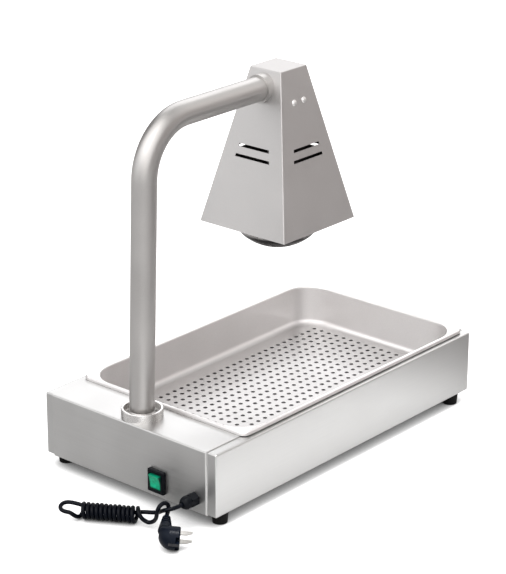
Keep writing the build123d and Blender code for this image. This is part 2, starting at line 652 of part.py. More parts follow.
def holder_nut():
    """Nut of the threaded stem, on the bracket."""
    bore = NIPPLE_DIAMETER + 2 * HOLE_CLEARANCE
    nut = hexagon(NIPPLE_NUT_FLATS, NIPPLE_NUT_HEIGHT) - Cylinder(bore / 2, 4 * NIPPLE_NUT_HEIGHT)
    return Pos(0, SHADE_Y, BRACKET_TOP) * nut


def lamp_profile(inset):
    """Closed half outline of the lamp's glass in the XZ plane, moved in by a thickness."""
    face_edge = LAMP_FACE_WIDTH / 2
    belt = LAMP_DIAMETER / 2 - inset
    neck = LAMP_NECK_DIAMETER / 2 - inset
    throat = CAP_DIAMETER / 2 - CAP_FIT - inset
    end = LAMP_LENGTH - CAP_LENGTH
    reach = LAMP_FACE_RADIUS - inset
    face_angle = math.asin(face_edge / LAMP_FACE_RADIUS)
    face_end = (reach * math.sin(face_angle), LAMP_FACE_RADIUS - reach * math.cos(face_angle))
    face_mid = (reach * math.sin(face_angle / 2), LAMP_FACE_RADIUS - reach * math.cos(face_angle / 2))
    dome = ThreePointArc((0, inset), face_mid, face_end)
    shoulder = TangentArc(face_end, (belt, LAMP_BELT_LOW), tangent=dome % 1)
    side = Line((belt, LAMP_BELT_LOW), (belt, LAMP_BELT_HIGH))
    cone = Spline((belt, LAMP_BELT_HIGH), (neck, LAMP_NECK_LOW), tangents=[(0, 1), (0, 1)])
    taper = Line((neck, LAMP_NECK_LOW), (throat, end))
    return make_face([dome, shoulder, side, cone, taper, Polyline((throat, end), (0, end), (0, inset))])


def lamp_glass():
    """Blown glass of the reflector lamp."""
    shell = lamp_profile(0) - lamp_profile(GLASS)
    return Pos(0, SHADE_Y, LAMP_Z) * revolve(Plane.XZ * shell, Axis.Z)


def lamp_cap():
    """Screw cap of the lamp with its end contact."""
    barrel = CAP_TOP - CAP_CONTACT_HEIGHT
    cap = upright(CAP_DIAMETER, 0, SHADE_Y, CAP_LOW, barrel)
    return cap + upright(CAP_CONTACT, 0, SHADE_Y, barrel, CAP_TOP)


def rocker_opening():
    """Width and height of the hole in the switch that the rocker moves in."""
    return ROCKER_WIDTH + 2 * ROCKER_SIDE_GAP, ROCKER_TALL + 2 * ROCKER_END_GAP


def switch_housing():
    """Black frame and body of the switch, clipped into the front panel."""
    place = Pos(SWITCH_X, 0, SWITCH_Z)
    wide, tall = rocker_opening()
    front = CASE_FRONT - BEZEL_PROUD
    half_x = SWITCH_WIDTH / 2
    half_z = SWITCH_TALL / 2
    body_x = SWITCH_BODY_WIDTH / 2
    body_z = SWITCH_BODY_TALL / 2
    floor = PIVOT_Y + 2 * ROCKER_BACK
    bezel = block(-half_x, half_x, front, CASE_FRONT, -half_z, half_z)
    bezel = fillet(bezel.edges().filter_by(Axis.Y) + bezel.faces().sort_by(Axis.Y)[0].edges(), BEZEL_ROUND)
    body = block(-body_x, body_x, CASE_FRONT, CASE_FRONT + SWITCH_BODY_DEPTH, -body_z, body_z)
    housing = bezel + body - block(-wide / 2, wide / 2, front, floor, -tall / 2, tall / 2)
    pin = PIVOT_DIAMETER / 2 + PIVOT_CLEARANCE
    reach = ROCKER_WIDTH / 2 + PIVOT_REACH + ROCKER_SIDE_GAP
    housing -= Pos(0, PIVOT_Y, 0) * Rot(0, 90, 0) * Cylinder(pin, 2 * reach)
    return place * housing


def switch_rocker():
    """Rocker with a dished face and two pivot pins, its upper end out."""
    half = ROCKER_TALL / 2
    raised = SWITCH_PROUD - PIVOT_SETOUT
    tilt = math.radians(ROCKER_TILT)
    rim = (raised - half * math.sin(tilt)) / math.cos(tilt)
    dish = rim - ROCKER_DISH
    face = ThreePointArc((-rim, -half), (-dish, 0), (-rim, half))
    back = Polyline((-rim, half), (ROCKER_BACK, half), (ROCKER_BACK, -half), (-rim, -half))
    rocker = extrude(Plane.YZ * make_face([face, back]), ROCKER_WIDTH / 2, both=True)
    reach = ROCKER_WIDTH / 2 + PIVOT_REACH
    rocker += Rot(0, 90, 0) * Cylinder(PIVOT_DIAMETER / 2, 2 * reach)
    return Pos(SWITCH_X, PIVOT_Y, SWITCH_Z) * Rot(ROCKER_TILT, 0, 0) * rocker


def tag_places():
    """Centres of the four switch tags, right column first."""
    return [(SWITCH_X + a * TAG_OFFSET_X, SWITCH_Z + b * TAG_OFFSET_Z) for a in (1, -1) for b in SIDES]


def switch_tags():
    """Flat terminal tags on the back of the switch."""
    back = CASE_FRONT + SWITCH_BODY_DEPTH
    tags = []
    for x, z in tag_places():
        half = TAG_WIDTH / 2
        low = z - TAG_SHEET / 2
        tags.append(block(x - half, x + half, back, back + TAG_LENGTH, low, low + TAG_SHEET))
    return Compound(tags)


def gland_bore(y_low, y_high):
    """Bore for the cord through the gland."""
    return level(CORD_DIAMETER + 2 * GLAND_FIT, GLAND_X, GLAND_Z, y_low, y_high)


def gland_hexagon(flats, y_low, y_high):
    """Hexagonal prism along the gland's axis."""
    prism = Rot(-90, 0, 0) * Rot(0, 0, 30) * hexagon(flats, y_high - y_low)
    return Pos(GLAND_X, y_low, GLAND_Z) * prism


def gland_body():
    """Gland body: flange on the panel, thread through it, and the stem inside the dome nut."""
    flange = CASE_FRONT - GLAND_FLANGE
    inner = CASE_FRONT + GLAND_THREAD_LENGTH
    stem = flange - GLAND_STEM_LENGTH
    body = gland_hexagon(GLAND_FLATS, flange, CASE_FRONT)
    body += level(GLAND_THREAD, GLAND_X, GLAND_Z, CASE_FRONT, inner)
    body += level(GLAND_STEM_DIAMETER, GLAND_X, GLAND_Z, stem, flange)
    return body - gland_bore(stem, inner)


def gland_dome_nut():
    """Dome nut that grips the cord."""
    back = CASE_FRONT - GLAND_FLANGE
    shoulder = back - GLAND_HEX_LENGTH
    nut = gland_hexagon(GLAND_FLATS, shoulder, back)
    mouth = GLAND_MOUTH_DIAMETER / 2
    belly = GLAND_FLATS / 2
    sag = (mouth + belly) / 2 + GLAND_DOME_LENGTH / 6
    middle = (sag, GLAND_DOME_LENGTH / 2)
    curve = ThreePointArc((belly, 0), middle, (mouth, GLAND_DOME_LENGTH))
    close = Polyline((mouth, GLAND_DOME_LENGTH), (0, GLAND_DOME_LENGTH), (0, 0), (belly, 0))
    dome = revolve(Plane.XZ * make_face([curve, close]), Axis.Z)
    nut += Pos(GLAND_X, shoulder, GLAND_Z) * Rot(90, 0, 0) * dome
    stem_room = GLAND_STEM_DIAMETER + 2 * GLAND_FIT
    nut -= level(stem_room, GLAND_X, GLAND_Z, back - GLAND_STEM_LENGTH - GLAND_FIT, back)
    return nut - gland_bore(GLAND_MOUTH, back)


def gland_lock_nut():
    """Flat nut of the gland inside the panel."""
    inside = CASE_FRONT + SHEET
    nut = gland_hexagon(LOCK_NUT_FLATS, inside, inside + LOCK_NUT_HEIGHT)
    bore = GLAND_THREAD + 2 * HOLE_CLEARANCE
    return nut - level(bore, GLAND_X, GLAND_Z, inside, inside + LOCK_NUT_HEIGHT)


def cord_inner_end():
    """Straight stretch of the cord through the gland into the wiring bay."""
    return level(CORD_DIAMETER, GLAND_X, GLAND_Z, GLAND_MOUTH, CASE_FRONT + CORD_INSIDE)


def corner_radii(points):
    """Largest tangent arc at each corner: 0.45 of the shorter run over the tangent of half the turn."""
    radii = []
    for before, here, after in zip(points, points[1:], points[2:]):
        first = Vector(*here) - Vector(*before)
        second = Vector(*after) - Vector(*here)
        half_turn = math.radians(first.get_angle(second)) / 2
        radii.append(0.45 * min(first.length, second.length) / math.tan(half_turn))
    return radii


def cord_tube(name, points):
    """Cord along straight runs and tangent arcs; prints its radii and compares its volume."""
    radii = corner_radii(points)
    path = FilletPolyline(*points, radius=radii)
    tube = swept(CORD_DIAMETER, path)
    expected = math.pi * CORD_RADIUS ** 2 * path.length
    listed = ", ".join(f"{radius:.1f}" for radius in radii)
    print(f"{name}: length {path.length:.1f}, radii {listed}, volume ratio {tube.volume / expected:.4f}")
    return tube


def by_gland(place):
    """Point in the part's frame of a place measured from the floor below the gland's face."""
    return Vector(GLAND_X, CASE_FRONT, 0) + Vector(*place)


def hank_frame():
    """Hank axis as a unit vector, and the level direction across it."""
    axis = (Vector(*HANK_RIGHT) - Vector(*HANK_LEFT)).normalized()
    return axis, axis.cross(Vector(0, 0, 1)).normalized()


def hank_exit(side, lift):
    """Two points where a strand leaves the right end of the hank, square to its end face."""
    axis, across = hank_frame()
    start = by_gland(HANK_RIGHT) + across * side + Vector(0, 0, lift)
    return [tuple(start), tuple(start + axis * HANK_RUN)]


def cord_lead():
    """Strand from the gland to the hank."""
    points = hank_exit(LEAD_SIDE, LEAD_LIFT)
    points += [tuple(by_gland(place)) for place in LEAD_POINTS]
    return cord_tube("lead", points + [(GLAND_X, GLAND_MOUTH, GLAND_Z)])


def plug_plane():
    """Plug frame: X along the plug away from the cord, Z the way the blades point."""
    heading = math.radians(PLUG_HEADING)
    dip = math.radians(PLUG_DIP)
    along = Vector(math.cos(heading) * math.cos(dip), math.sin(heading) * math.cos(dip), -math.sin(dip))
    level_out = Vector(0, 0, 1).cross(along).normalized()
    out = level_out.rotate(Axis((0, 0, 0), tuple(along)), -PLUG_ROLL)
    return Plane(origin=by_gland(PLUG_NECK), x_dir=along, z_dir=out)


def cord_tail():
    """Strand from the hank to the plug."""
    neck = by_gland(PLUG_NECK)
    before = neck - plug_plane().x_dir * PLUG_RUN
    points = hank_exit(TAIL_SIDE, TAIL_LIFT)
    points += [tuple(by_gland(place)) for place in TAIL_POINTS]
    return cord_tube("tail", points + [tuple(before), tuple(neck)])


def cord_hank():
    """Outer shape of the wound hank, with the eye of cord at its left end."""
    axis, across = hank_frame()
    length = (Vector(*HANK_RIGHT) - Vector(*HANK_LEFT)).length
    frame = Plane(origin=by_gland(HANK_LEFT), x_dir=across, z_dir=axis)
    hank = Cylinder(HANK_DIAMETER / 2, length, align=(Align.CENTER, Align.CENTER, Align.MIN))
    hank = fillet(hank.edges().filter_by(GeomType.CIRCLE), HANK_END_ROUND)
    bend = (EYE_WIDTH - CORD_DIAMETER) / 2
    leg = EYE_LENGTH - bend - CORD_RADIUS
    start = (bend, -EYE_LIFT, HANK_END_ROUND)
    corners = [(bend, -EYE_LIFT, -leg - bend), (-bend, -EYE_LIFT, -leg - bend)]
    eye = FilletPolyline(start, *corners, (-bend, -EYE_LIFT, HANK_END_ROUND), radius=0.98 * bend)
    return frame * (hank + swept(CORD_DIAMETER, eye))


def plug_dome():
    """Domed back of the plug's head, drawn in towards the cord."""
    sections = [Pos(PLUG_REACH, 0, DOME_LOW) * Circle(PLUG_RADIUS)]
    for height, shift, share in DOME_SHAPE:
        sections.append(Pos(PLUG_REACH + shift, 0, height) * Circle(PLUG_RADIUS * share))
    dome = loft(sections)
    return fillet(dome.edges().group_by(Axis.Z)[0], DOME_EDGE)


def plug_relief():
    """Tapered strain relief of the plug with rings cut into its thin end."""
    relief = Cone(RELIEF_END_RADIUS, RELIEF_ROOT_RADIUS, RELIEF_LENGTH)
    slope = (RELIEF_ROOT_RADIUS - RELIEF_END_RADIUS) / RELIEF_LENGTH
    for place in RELIEF_GROOVES:
        core = RELIEF_END_RADIUS + slope * place - RELIEF_GROOVE_DEPTH
        ring = Cylinder(RELIEF_ROOT_RADIUS, RELIEF_GROOVE_WIDTH) - Cylinder(core, RELIEF_GROOVE_WIDTH)
        relief -= Pos(0, 0, place - RELIEF_LENGTH / 2) * ring
    return Pos(RELIEF_LENGTH / 2, 0, 0) * Rot(0, 90, 0) * relief


def blade_wells():
    """Grooves across the plug's face, one for each blade."""
    well = Box(4 * PLUG_RADIUS, BLADE_WELL, 2 * BLADE_WELL_DEPTH)
    return [Pos(PLUG_REACH, side * BLADE_SPACING / 2, PLUG_FACE) * well for side in SIDES]


def earth_clip(sheet, slack):
    """Bar at the far side of the plug's head, where its earth contact lies."""
    far = PLUG_REACH + PLUG_RADIUS
    low = PLUG_FACE - BLADE_WELL_DEPTH - EARTH_CLIP_LENGTH + slack
    width = EARTH_CLIP_WIDTH / 2 - slack
    return block(far - EARTH_CLIP_SINK, far - EARTH_CLIP_SINK + sheet, -width, width, low, PLUG_FACE - slack)


def plug_body():
    """Moulded right-angle plug: round head with grooves in its face, domed back and strain relief."""
    head = Pos(PLUG_REACH, 0, (DOME_LOW + PLUG_FACE) / 2) * Cylinder(PLUG_RADIUS, PLUG_FACE - DOME_LOW)
    head = fillet(head.edges().group_by(Axis.Z)[-1], PLUG_EDGE)
    body = head + plug_dome() + plug_relief() - blade_wells()
    return plug_plane() * (body - earth_clip(PLUG_RADIUS, 0))


def plug_blades():
    """Two flat blades, each with one slanted edge, and the earth contact at the side of the head."""
    root = PLUG_FACE - BLADE_WELL_DEPTH
    tip = PLUG_FACE + BLADE_LENGTH
    middle = PLUG_REACH - BLADE_SETBACK
    near = middle - BLADE_WIDTH / 2
    far = middle + BLADE_WIDTH / 2
    slant = PLUG_FACE + BLADE_LENGTH / 2
    corners = [(near, root), (far, root), (far, slant), (near + BLADE_TIP_WIDTH, tip), (near, tip)]
    blade = extrude(Plane.XZ * Polygon(*corners, align=None), BLADE_SHEET / 2, both=True)
    blades = [Pos(0, side * BLADE_SPACING / 2, 0) * blade for side in SIDES]
    return plug_plane() * Compound(blades + [earth_clip(EARTH_CLIP_SHEET, HOLE_CLEARANCE)])


def wire(points, diameter, radii):
    """Wire along straight runs and arcs."""
    return swept(diameter, FilletPolyline(*points, radius=radii))


def inner_cord_end(angle):
    """Point on the inner end of the cord where one conductor comes out."""
    turn = math.radians(angle)
    x = GLAND_X + WIRE_SPREAD * math.cos(turn)
    z = GLAND_Z + WIRE_SPREAD * math.sin(turn)
    return x, CASE_FRONT + CORD_INSIDE, z


def link_wire(start, end, lane):
    """Conductor that leaves both of its ends towards the rear, in a lane of its own."""
    far_y = max(start[1], end[1]) + (4 + 2 * lane) * WIRE_DIAMETER
    points = [start, (start[0], far_y, start[2]), (end[0], far_y, end[2]), end]
    return wire(points, WIRE_DIAMETER, 3 * WIRE_DIAMETER)


def earth_wire():
    """Conductor from the cord to the ring under the earth stud's nut."""
    x, y, z = inner_cord_end(270)
    low = PLATE_TOP + WIRE_DIAMETER / 2
    edge = STUD_X + STUD_TAG_DIAMETER / 2
    points = [(x, y, z), (x, STUD_Y, z), (x, STUD_Y, low), (edge, STUD_Y, low)]
    return wire(points, WIRE_DIAMETER, 2 * WIRE_DIAMETER)


def earth_stud():
    """Stud through the bottom plate, with its ring tag and nut."""
    ring_top = PLATE_TOP + WIRE_DIAMETER
    stud = upright(STUD_DIAMETER, STUD_X, STUD_Y, PLATE_TOP - SHEET, PLATE_TOP + STUD_HEIGHT)
    stud += upright(STUD_TAG_DIAMETER, STUD_X, STUD_Y, PLATE_TOP, ring_top)
    return stud + Pos(STUD_X, STUD_Y, ring_top) * hexagon(STUD_NUT_FLATS, STUD_NUT_HEIGHT)


def block_screw_places():
    """Two fixing screws at the ends of the terminal block."""
    return [side * BLOCK_SCREW_SPACING / 2 for side in SIDES]


def terminal_block():
    """Insulated terminal block on the bottom plate, under the neck."""
    half_x = BLOCK_WIDTH / 2
    half_y = BLOCK_DEPTH / 2
    body = block(-half_x, half_x, POST_Y - half_y, POST_Y + half_y, PLATE_TOP, BLOCK_TOP)
    bore = BLOCK_SCREW_DIAMETER + 2 * HOLE_CLEARANCE
    seat = BLOCK_TOP - BLOCK_SCREW_SINK
    for x in block_screw_places():
        body -= upright(bore, x, POST_Y, PLATE_TOP, BLOCK_TOP)
        body -= upright(BLOCK_SCREW_HEAD + 2 * HOLE_CLEARANCE, x, POST_Y, seat, BLOCK_TOP)
    return body


def block_screws():
    """Screws that hold the terminal block to the bottom plate."""
    seat = BLOCK_TOP - BLOCK_SCREW_SINK
    screws = []
    for x in block_screw_places():
        shank = upright(BLOCK_SCREW_DIAMETER, x, POST_Y, PLATE_TOP - SHEET, seat)
        screws.append(shank + upright(BLOCK_SCREW_HEAD, x, POST_Y, seat, seat + BLOCK_SCREW_HEAD_HEIGHT))
    return Compound(screws)


def tag_end(number):
    """Point at the end of a switch tag."""
    x, z = tag_places()[number]
    return x, CASE_FRONT + SWITCH_BODY_DEPTH + TAG_LENGTH, z


def block_way(number):
    """Point at the rear of one way of the terminal block."""
    return number * BLOCK_WAY_PITCH, POST_Y + BLOCK_DEPTH / 2, PLATE_TOP + BLOCK_HEIGHT / 2


def switched_wires():
    """Conductors from the switch to the terminal block."""
    near = link_wire(tag_end(2), block_way(1), 0)
    far = link_wire(tag_end(3), block_way(-1), 1)
    return Compound([near, far])


def lamp_cable():
    """Cable from the terminal block through the neck to the lamp holder."""
    points = [(0, POST_Y, BLOCK_TOP), *post_corners()]
    points += [(0, SHADE_Y, ARM_HEIGHT), (0, SHADE_Y, BRACKET_TOP)]
    return wire(points, LAMP_CABLE_DIAMETER, [POST_LEAN_BEND, TUBE_BEND, LAMP_CABLE_BEND])


def subparts():
    """Every node of the assembly by name."""
    right_panel = side_panel()
    return {
        "left_side_panel": mirror(right_panel, about=Plane.YZ),
        "right_side_panel": right_panel,
        "front_panel": front_panel(),
        "rear_panel": rear_panel(),
        "bottom_plate": bottom_plate(),
        "front_bulkhead": front_bulkhead(),
        "rubber_feet": rubber_feet(),
        "foot_screws": foot_screws(),
        "foot_nuts": foot_nuts(),
        "food_pan": food_pan(),
        "neck_tube": neck_tube(),
        "neck_collar": neck_collar(),
        "neck_backing_plate": neck_backing_plate(),
        "neck_lock_nut": neck_lock_nut(),
        "arm_ferrule": arm_ferrule(),
        "arm_lock_ring": arm_lock_ring(),
        "lamp_shade": lamp_shade(),
        "shade_rivets": shade_rivets(),
        "lamp_bracket": lamp_bracket(),
        "lamp_holder": lamp_holder(),
        "holder_nipple": holder_nipple(),
        "holder_nut": holder_nut(),
        "lamp_glass": lamp_glass(),
        "lamp_cap": lamp_cap(),
        "lamp_cable": lamp_cable(),
        "switch_housing": switch_housing(),
        "switch_rocker": switch_rocker(),
        "switch_tags": switch_tags(),
        "gland_body": gland_body(),
        "gland_dome_nut": gland_dome_nut(),
        "gland_lock_nut": gland_lock_nut(),
        "cord_inner_end": cord_inner_end(),
        "live_wire": link_wire(inner_cord_end(30), tag_end(0), 1),
        "neutral_wire": link_wire(inner_cord_end(150), tag_end(1), 0),
        "earth_wire": earth_wire(),
        "switched_wires": switched_wires(),
        "earth_stud": earth_stud(),
        "terminal_block": terminal_block(),
        "block_screws": block_screws(),
        "cord_lead": cord_lead(),
        "cord_hank": cord_hank(),
        "cord_tail": cord_tail(),
        "plug_body": plug_body(),
        "plug_blades": plug_blades(),
    }


os.makedirs("parts", exist_ok=True)
for node, shape in subparts().items():
    export_step(shape, f"parts/{node}.step")
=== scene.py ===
import json
import math

import bpy
from mathutils import Matrix, Vector


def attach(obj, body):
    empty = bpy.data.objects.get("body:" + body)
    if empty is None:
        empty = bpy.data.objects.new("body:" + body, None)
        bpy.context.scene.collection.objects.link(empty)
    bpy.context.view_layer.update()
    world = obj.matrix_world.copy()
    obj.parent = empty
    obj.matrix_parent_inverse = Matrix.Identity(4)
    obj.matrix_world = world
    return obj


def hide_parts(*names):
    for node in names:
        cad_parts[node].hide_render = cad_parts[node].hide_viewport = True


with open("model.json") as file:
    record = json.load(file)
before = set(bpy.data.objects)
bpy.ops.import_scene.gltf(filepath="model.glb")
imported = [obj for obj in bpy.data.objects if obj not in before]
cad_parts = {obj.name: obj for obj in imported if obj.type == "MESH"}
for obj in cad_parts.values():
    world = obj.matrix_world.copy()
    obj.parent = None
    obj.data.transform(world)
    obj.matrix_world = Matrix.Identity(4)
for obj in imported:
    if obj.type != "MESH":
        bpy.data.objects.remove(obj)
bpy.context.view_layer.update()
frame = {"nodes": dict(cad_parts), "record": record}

# Looks of the fry warmer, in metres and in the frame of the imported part
MM = 0.001
UP = Vector((0, 0, 1))
WHITE = (1, 1, 1, 1)

# Camera, from a fit to the corners of the casing; angles in degrees
CAMERA_PLACE = (2.0688, -2.4271, 1.4651)
CAMERA_AZIMUTH = 40.699
CAMERA_ELEVATION = 21.002
CAMERA_ROLL = 0.141
SENSOR = 36.0
FOCAL_PIXELS = 2248.1
PHOTO_HEIGHT_PIXELS = 574
FAR_CLIP = 50

# Cord route in millimetres, close to that of the solids, with places measured from the gland's face
CORD_DIAMETER = 6.2
GLAND_FACE = Vector((131.5, -301.0, 0.0))
CORD_EXIT = (0.0, -26.5, 39.0)
LEAD = [
    (0.0, -34.5, 39.0), (-1.4, -42.0, 38.8), (-6.8, -48.8, 37.6),
    (-14.0, -50.0, 34.4), (-23.5, -44.5, 28.0), (-34.5, -37.5, 20.0),
]
HANK_LEFT = (-130.4, -94.1, 13.2)
HANK_RIGHT = (-56.5, -50.4, 13.2)
TAIL = [
    (-40.5, -52.0, 7.0), (-33.5, -50.0, 10.5), (-26.5, -52.0, 18.5),
    (-21.0, -56.5, 27.5), (-17.5, -59.0, 36.0), (-15.5, -55.5, 44.0),
    (-14.0, -46.5, 46.0), (-13.0, -40.0, 39.5), (-12.5, -41.2, 31.5),
]
PLUG_NECK = (-4.5, -54.0, 27.2)
PLUG_HEADING = -51.0
PLUG_DIP = 11.0
PLUG_RUN = 8.0

# Hank in millimetres from its axis. The cord runs in at the right, along the core and round the eye at the
# left, then wraps round the core. A point of the eye has a side and a place along the axis.
HANK_RUN = 14.0
LEAD_SIDE, LEAD_LIFT = -4.4, 3.2
CORE_SIDE = -3.1
CORE_SHARES = (0.8, 0.5, 0.2)
EYE = [
    (-7.0, -2.0), (-9.8, -13.0), (-11.2, -24.0), (-8.6, -31.2),
    (-1.9, -34.2), (4.9, -31.2), (7.6, -24.0),
]
EYE_LIFT = 2.0
EYE_TILT = 0.34
WRAP_RADIUS = 9.9
WRAP_PITCH = 6.5
WRAP_START = -3.5
WRAP_COUNT = 13
WRAP_END_TURN = 0.09
WRAP_POINTS = 14
WRAP_EASE = 13.0
WRAP_EASE_TURN = 0.16
WRAP_WOBBLE = 0.3
WOBBLE_RATE = 1.7

# Fineness of the cord's tube
CORD_FACETS = 4
CORD_STEPS = 4

# Finish of metals and plastics: scales of the patches, changes of colour and roughness, skin and polish
NOISE_LOW, NOISE_HIGH = 0.3, 0.7
SKIN_DEPTH = 0.0002
STEEL_PATCHES, MOULDED_PATCHES, METAL_PATCHES = 14, 35, 60
STEEL_TINT, MOULDED_TINT, METAL_TINT = 0.06, 0.18, 0.08
STEEL_DULLING, MOULDED_DULLING = 0.05, 0.06
METAL_SHINIER, METAL_DULLER = 0.05, 0.07
LINE_SHARE, PATCH_SHARE = 0.55, 0.45
POLISH_IOR = 2.4
POLISH_ROUGHNESS = 0.14

# Grain of the steel: noise is fine across it and long along it
FINE = 1400
LONG = 10
ALONG_X = (LONG, FINE, FINE)
ALONG_Y = (FINE, LONG, FINE)
ALONG_Z = (FINE, FINE, LONG)
NO_GRAIN = (700, 700, 700)

# Painted shadow inside the lamp shade, painted shade on the pan's floor, and places where the look of a piece
# changes
INSIDE_SHADOW = (0.035, 0.032, 0.03, 1)
SHADE_MIDDLE = (0, 0.0345, 0)
# Painted shade on the pan's floor: its level, the fade above it and how dark it gets
PAN_FLOOR = 0.0590
PAN_FLOOR_FADE = 6 * MM
PAN_FLOOR_SHADED = 0.66
DARK_GLASS_TOP, SILVERED_FROM = 0.324, 0.334
EARTH_CONTACT_FROM = -0.3825

# Green rocker with painted shade at its borders and along its top; each shaded border has an axis, and its
# start and end in shares of the rocker's box
LENS_SHADE = (0.002, 0.014, 0.011, 1)
LENS_GREEN = (0.004, 0.36, 0.19)
LENS_SHADED_BORDERS = [("X", 0.03, 0.2), ("X", 0.97, 0.8), ("Z", 0.03, 0.18), ("Z", 1.0, 0.88)]
LENS_CLOUDS = 120
LENS_TINT = 0.3
LENS_ROUGHNESS = 0.22
LENS_SHINE = 0.25

# Lamp glass, dark on its face and silvered above it
GLASS_DARK = (0.004, 0.003, 0.003)
GLASS_SILVER = (0.7, 0.69, 0.68)
GLASS_CLOUDS = 25
GLASS_DARK_TINT, GLASS_SILVER_TINT = 0.4, 0.06
GLASS_SMOOTH, GLASS_ROUGH = 0.24, 0.32
GLASS_SHINE = 0.12

# Plug blades and the dark earth contact
BLADE_BRIGHT = (0.5, 0.49, 0.47)
BLADE_DARK = (0.06, 0.06, 0.065)
BLADE_DARK_TINT = 0.3
BLADE_ROUGHNESS = 0.2

# Floor: white to the camera, pale and dull to the metal, with a shadow where something is near
FLOOR_HALF = 8.0
FLOOR_DROP = 0.0003
FLOOR_IN_METAL = 0.04
FLOOR_PALE = (0.44, 0.44, 0.44, 1)
FLOOR_DULL = (0.15, 0.14, 0.14, 1)
FLOOR_ROUGHNESS = 0.9
FLOOR_SHINE = 0.1
DULL_PLACE = (1.1, 0.8, 0)
DULL_INNER, DULL_OUTER = 0.5, 1.05
SHADOW_REACH = 0.06
SHADOW_FULL, SHADOW_NONE = 0.05, 0.77
SHADOW_SAMPLES = 16

# Studio: each soft panel has a heading from +X, an elevation, an inner and an outer half angle, all in
# degrees, and a colour
STUDIO_GREY = (0.21, 0.197, 0.192)
PANELS = [
    (131, 37, 16, 29, (1.9, 1.9, 1.92)),
    (72, 40, 15, 42, (0.85, 0.84, 0.83)),
    (252, 56, 20, 45, (1.45, 1.44, 1.43)),
    (232, 6, 20, 50, (0.92, 0.93, 0.94)),
    (45, 4, 20, 50, (0.27, 0.235, 0.225)),
    (-49, 36, 18, 52, (1.7, 1.67, 1.66)),
]

# Lamp that washes the right side from above
WASH_PLACE = Vector((0.33, -0.16, 1.15))
WASH_TARGET = Vector((0.29, -0.16, 0))
WASH_LENGTH, WASH_WIDTH = 1.05, 0.16
WASH_POWER = 1.6
WASH_SPREAD = 16


def make_camera():
    """Camera at the photograph's place."""
    data = bpy.data.cameras.new("camera")
    data.sensor_fit = "AUTO"
    data.sensor_width = SENSOR
    data.lens = SENSOR * (FOCAL_PIXELS / PHOTO_HEIGHT_PIXELS)
    data.clip_end = FAR_CLIP
    camera = bpy.data.objects.new("camera", data)
    turn = Matrix.Rotation(math.radians(CAMERA_AZIMUTH), 4, "Z")
    turn @= Matrix.Rotation(math.radians(90 - CAMERA_ELEVATION), 4, "X")
    turn @= Matrix.Rotation(math.radians(CAMERA_ROLL), 4, "Z")
    camera.matrix_world = Matrix.Translation(CAMERA_PLACE) @ turn
    bpy.context.scene.collection.objects.link(camera)
    bpy.context.scene.camera = camera


def towards(heading, elevation):
    """Direction with a heading from +X and an elevation, both in degrees."""
    turn = math.radians(heading)
    rise = math.radians(elevation)
    return Vector((math.cos(turn) * math.cos(rise), math.sin(turn) * math.cos(rise), math.sin(rise)))


def from_gland(place):
    """Point of the cord that is measured from the gland's face, in millimetres."""
    return GLAND_FACE + Vector(place)


def hank_points():
    """Control points of the hank in millimetres: run in, core, eye and wraps."""
    left, right = from_gland(HANK_LEFT), from_gland(HANK_RIGHT)
    length = (right - left).length
    axis = (right - left).normalized()
    across = axis.cross(UP).normalized()
    entry = right + across * LEAD_SIDE + UP * LEAD_LIFT
    points = [entry + axis * HANK_RUN, entry]
    points += [left + axis * length * share + across * CORE_SIDE for share in CORE_SHARES]
    for side, along in EYE:
        points.append(left + across * side + axis * along + UP * (EYE_LIFT - EYE_TILT * side))
    turns = WRAP_COUNT + WRAP_END_TURN
    for step in range(int(turns * WRAP_POINTS) + 1):
        turn = step / WRAP_POINTS
        angle = -2 * math.pi * turn
        radius = WRAP_RADIUS + WRAP_WOBBLE * math.sin(WOBBLE_RATE * turn) * min(turn, 1)
        spoke = across * math.cos(angle) + UP * math.sin(angle)
        ease = math.exp((turn - turns) / WRAP_EASE_TURN) - math.exp(-turn / WRAP_EASE_TURN)
        along = WRAP_START + WRAP_PITCH * turn + WRAP_EASE * ease
        points.append(left + axis * along + spoke * radius)
    return points


def cord_points():
    """Control points of the whole cord in millimetres, from the gland to the plug."""
    points = [from_gland(place) for place in [CORD_EXIT, *LEAD]]
    points += hank_points()
    points += [from_gland(place) for place in TAIL]
    neck = from_gland(PLUG_NECK)
    return points + [neck - towards(PLUG_HEADING, -PLUG_DIP) * PLUG_RUN, neck]


def make_cord():
    """The cord as one smooth tube."""
    points = cord_points()
    curve = bpy.data.curves.new("supply_cord", "CURVE")
    curve.dimensions = "3D"
    curve.bevel_depth = 1
    curve.bevel_resolution = CORD_FACETS
    curve.use_fill_caps = True
    spline = curve.splines.new("NURBS")
    spline.points.add(len(points) - 1)
    for control, place in zip(spline.points, points):
        control.co = (*(place * MM), 1)
        control.radius = CORD_DIAMETER / 2 * MM
    spline.order_u = 3
    spline.use_endpoint_u = True
    spline.resolution_u = CORD_STEPS
    cord = bpy.data.objects.new("supply_cord", curve)
    bpy.context.scene.collection.objects.link(cord)
    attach(cord, "base")
    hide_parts("cord_lead", "cord_hank", "cord_tail")
    return cord


def join(tree, socket, value):
    """Socket set to a value, or linked to it where the value is a socket."""
    if isinstance(value, bpy.types.NodeSocket):
        tree.links.new(value, socket)
    else:
        socket.default_value = value


def fill(tree, node, **sockets):
    """Named sockets of a node set or linked."""
    for key, value in sockets.items():
        join(tree, node.inputs[key.replace("_", " ")], value)


def add(tree, kind, settings=None, **sockets):
    """Shader node with its settings, and its sockets set or linked."""
    made = tree.nodes.new("ShaderNode" + kind)
    for key, value in (settings or {}).items():
        setattr(made, key, value)
    fill(tree, made, **sockets)
    return made


def maths(tree, operation, first, second):
    """Sum, product or the like of two numbers or sockets."""
    made = add(tree, "Math", {"operation": operation})
    join(tree, made.inputs[0], first)
    join(tree, made.inputs[1], second)
    return made.outputs[0]


